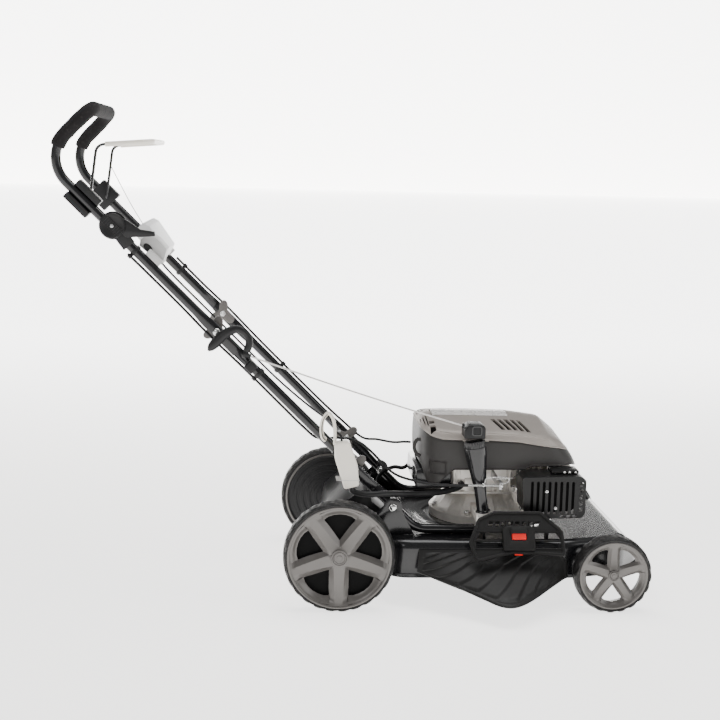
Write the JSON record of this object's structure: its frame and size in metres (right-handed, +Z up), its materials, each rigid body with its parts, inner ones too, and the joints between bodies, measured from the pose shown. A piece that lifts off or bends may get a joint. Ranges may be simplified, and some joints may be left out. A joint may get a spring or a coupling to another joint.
{
  "type": "petrol lawn mower",
  "caption": "Walk-behind petrol lawn mower with folding two-joint handle, vertical-shaft engine, rear and side outlets and large rear wheels.",
  "frame": {"origin": "centre of the mower's box in plan, at ground height", "axes": "+X the way it mows, +Y its left side, +Z up"},
  "size_m": [1.383, 0.6916, 1.1278],
  "materials": {
    "black_enamel": "gloss",
    "black_plastic": "satin",
    "tyre_rubber": "matt",
    "rim_grey": "satin",
    "cover_grey": "satin",
    "shroud_dark": "satin",
    "cast_alloy": "cast",
    "bright_steel": "polished",
    "foam_black": "matt",
    "cream_sleeve": "satin",
    "pale_grey": "satin",
    "knob_grey": "satin",
    "signal_red": "gloss",
    "rope_white": "braided"
  },
  "bodies": {
    "chassis": {"deck": "black_enamel", "rear_frame": "black_plastic", "flap_rod": "bright_steel", "rear_axle": "bright_steel", "front_axle": "bright_steel", "handle_bracket_left": "black_enamel", "handle_bracket_right": "black_enamel", "frame_tube_left": "black_enamel", "frame_tube_right": "black_enamel", "lower_shroud": "shroud_dark", "upper_cover": "cover_grey", "engine_base": "cast_alloy", "crankcase": "cast_alloy", "cylinder_head": "cast_alloy", "spark_plug_boot": "black_plastic", "muffler": "black_enamel", "carburettor": "cast_alloy", "air_filter_box": "black_plastic", "fuel_tank": "black_plastic", "oil_filler_tube": "black_plastic", "side_chute": "black_plastic", "wiring_conduit": "black_plastic"},
    "front_left_wheel": {"tyre_front_left": "tyre_rubber", "rim_front_left": "rim_grey"},
    "front_right_wheel": {"tyre_front_right": "tyre_rubber", "rim_front_right": "rim_grey"},
    "rear_left_wheel": {"tyre_rear_left": "tyre_rubber", "rim_rear_left": "rim_grey"},
    "rear_right_wheel": {"tyre_rear_right": "tyre_rubber", "rim_rear_right": "rim_grey"},
    "crank": {"crankshaft": "bright_steel", "flywheel": "cast_alloy", "blade_adapter": "cast_alloy", "blade": "bright_steel"},
    "rear_flap": {"rear_flap": "black_plastic"},
    "side_flap": {"side_flap": "black_plastic"},
    "latch_button": {"latch_button": "signal_red"},
    "fuel_cap": {"fuel_cap": "black_plastic"},
    "dipstick": {"dipstick_cap": "black_plastic"},
    "lower_handle": {"lower_tube_left": "black_enamel", "lower_tube_right": "black_enamel", "upper_knob_left": "knob_grey", "upper_knob_right": "knob_grey", "lower_knob_left": "knob_grey", "lower_knob_right": "knob_grey", "starter_rope": "rope_white", "rope_guide": "black_plastic", "battery_pack": "cream_sleeve", "throttle_cable": "black_plastic", "brake_cable": "black_plastic", "pack_lead": "black_plastic"},
    "upper_handle": {"upper_handle": "black_enamel", "foam_grip": "foam_black", "bail_housing": "black_plastic", "throttle_housing": "black_plastic", "console": "pale_grey"},
    "bail": {"bail": "black_enamel", "bail_sleeve": "cream_sleeve"},
    "throttle_lever": {"throttle_lever": "black_plastic"},
    "starter_grip": {"starter_grip": "black_plastic"}
  },
  "joints": [
    {"name": "front_left_wheel_spin", "type": "hinge", "parent": "chassis", "child": "front_left_wheel", "pos_m": [0.58296, 0.32176, 0.089], "axis": [0, 1, 0], "continuous": true},
    {"name": "front_right_wheel_spin", "type": "hinge", "parent": "chassis", "child": "front_right_wheel", "pos_m": [0.58296, -0.23624, 0.089], "axis": [0, 1, 0], "continuous": true},
    {"name": "rear_left_wheel_spin", "type": "hinge", "parent": "chassis", "child": "rear_left_wheel", "pos_m": [-0.04404, 0.31476, 0.127], "axis": [0, 1, 0], "continuous": true},
    {"name": "rear_right_wheel_spin", "type": "hinge", "parent": "chassis", "child": "rear_right_wheel", "pos_m": [-0.04404, -0.22924, 0.127], "axis": [0, 1, 0], "continuous": true},
    {"name": "crank_spin", "type": "hinge", "parent": "chassis", "child": "crank", "pos_m": [0.31596, 0.04276, 0.2], "axis": [0, 0, 1], "continuous": true},
    {"name": "rear_flap_hinge", "type": "hinge", "parent": "chassis", "child": "rear_flap", "pos_m": [0.02196, 0.04276, 0.2405], "axis": [0, 1, 0], "range_deg": [0, 55], "stiffness_Nm_per_rad": 0.5, "springref_deg": -17.19},
    {"name": "side_flap_hinge", "type": "hinge", "parent": "chassis", "child": "side_flap", "pos_m": [0.36596, -0.18724, 0.2], "axis": [-1, 0, 0], "range_deg": [0, 35], "stiffness_Nm_per_rad": 0.5, "springref_deg": -17.19},
    {"name": "latch_press", "type": "slide", "parent": "side_flap", "child": "latch_button", "axis": [0, 0.8102, -0.5862], "range_m": [0, 0.0035], "stiffness_N_per_m": 400},
    {"name": "fuel_cap_turn", "type": "hinge", "parent": "chassis", "child": "fuel_cap", "pos_m": [0.20096, 0.21876, 0.345], "axis": [0, 0, 1], "range_deg": [0, 90]},
    {"name": "dipstick_turn", "type": "hinge", "parent": "chassis", "child": "dipstick", "pos_m": [0.27246, -0.13524, 0.36], "axis": [-0.153, 0, 0.9882], "range_deg": [0, 90]},
    {"name": "lower_fold", "type": "hinge", "parent": "chassis", "child": "lower_handle", "pos_m": [-0.00704, 0.04276, 0.3084], "axis": [0, 1, 0], "range_deg": [0, 100], "deforming": ["throttle_cable", "brake_cable", "starter_rope"]},
    {"name": "upper_fold", "type": "hinge", "parent": "lower_handle", "child": "upper_handle", "pos_m": [-0.32604, 0.04276, 0.6225], "axis": [0, 1, 0], "range_deg": [-130, 0], "deforming": ["throttle_cable", "brake_cable", "pack_lead"]},
    {"name": "bail_swing", "type": "hinge", "parent": "upper_handle", "child": "bail", "pos_m": [-0.61278, 0.04276, 0.90483], "axis": [0, -1, 0], "range_deg": [0, 36], "stiffness_Nm_per_rad": 0.8, "springref_deg": -22.92},
    {"name": "throttle_turn", "type": "hinge", "parent": "upper_handle", "child": "throttle_lever", "pos_m": [-0.55554, -0.16124, 0.8575], "axis": [0, -1, 0], "range_deg": [-12, 35]},
    {"name": "starter_pull", "type": "slide", "parent": "lower_handle", "child": "starter_grip", "axis": [-0.9471, -0.0769, 0.3117], "range_m": [0, 0.5], "stiffness_N_per_m": 20, "springref_m": -0.3, "deforming": ["starter_rope"]}
  ]
}
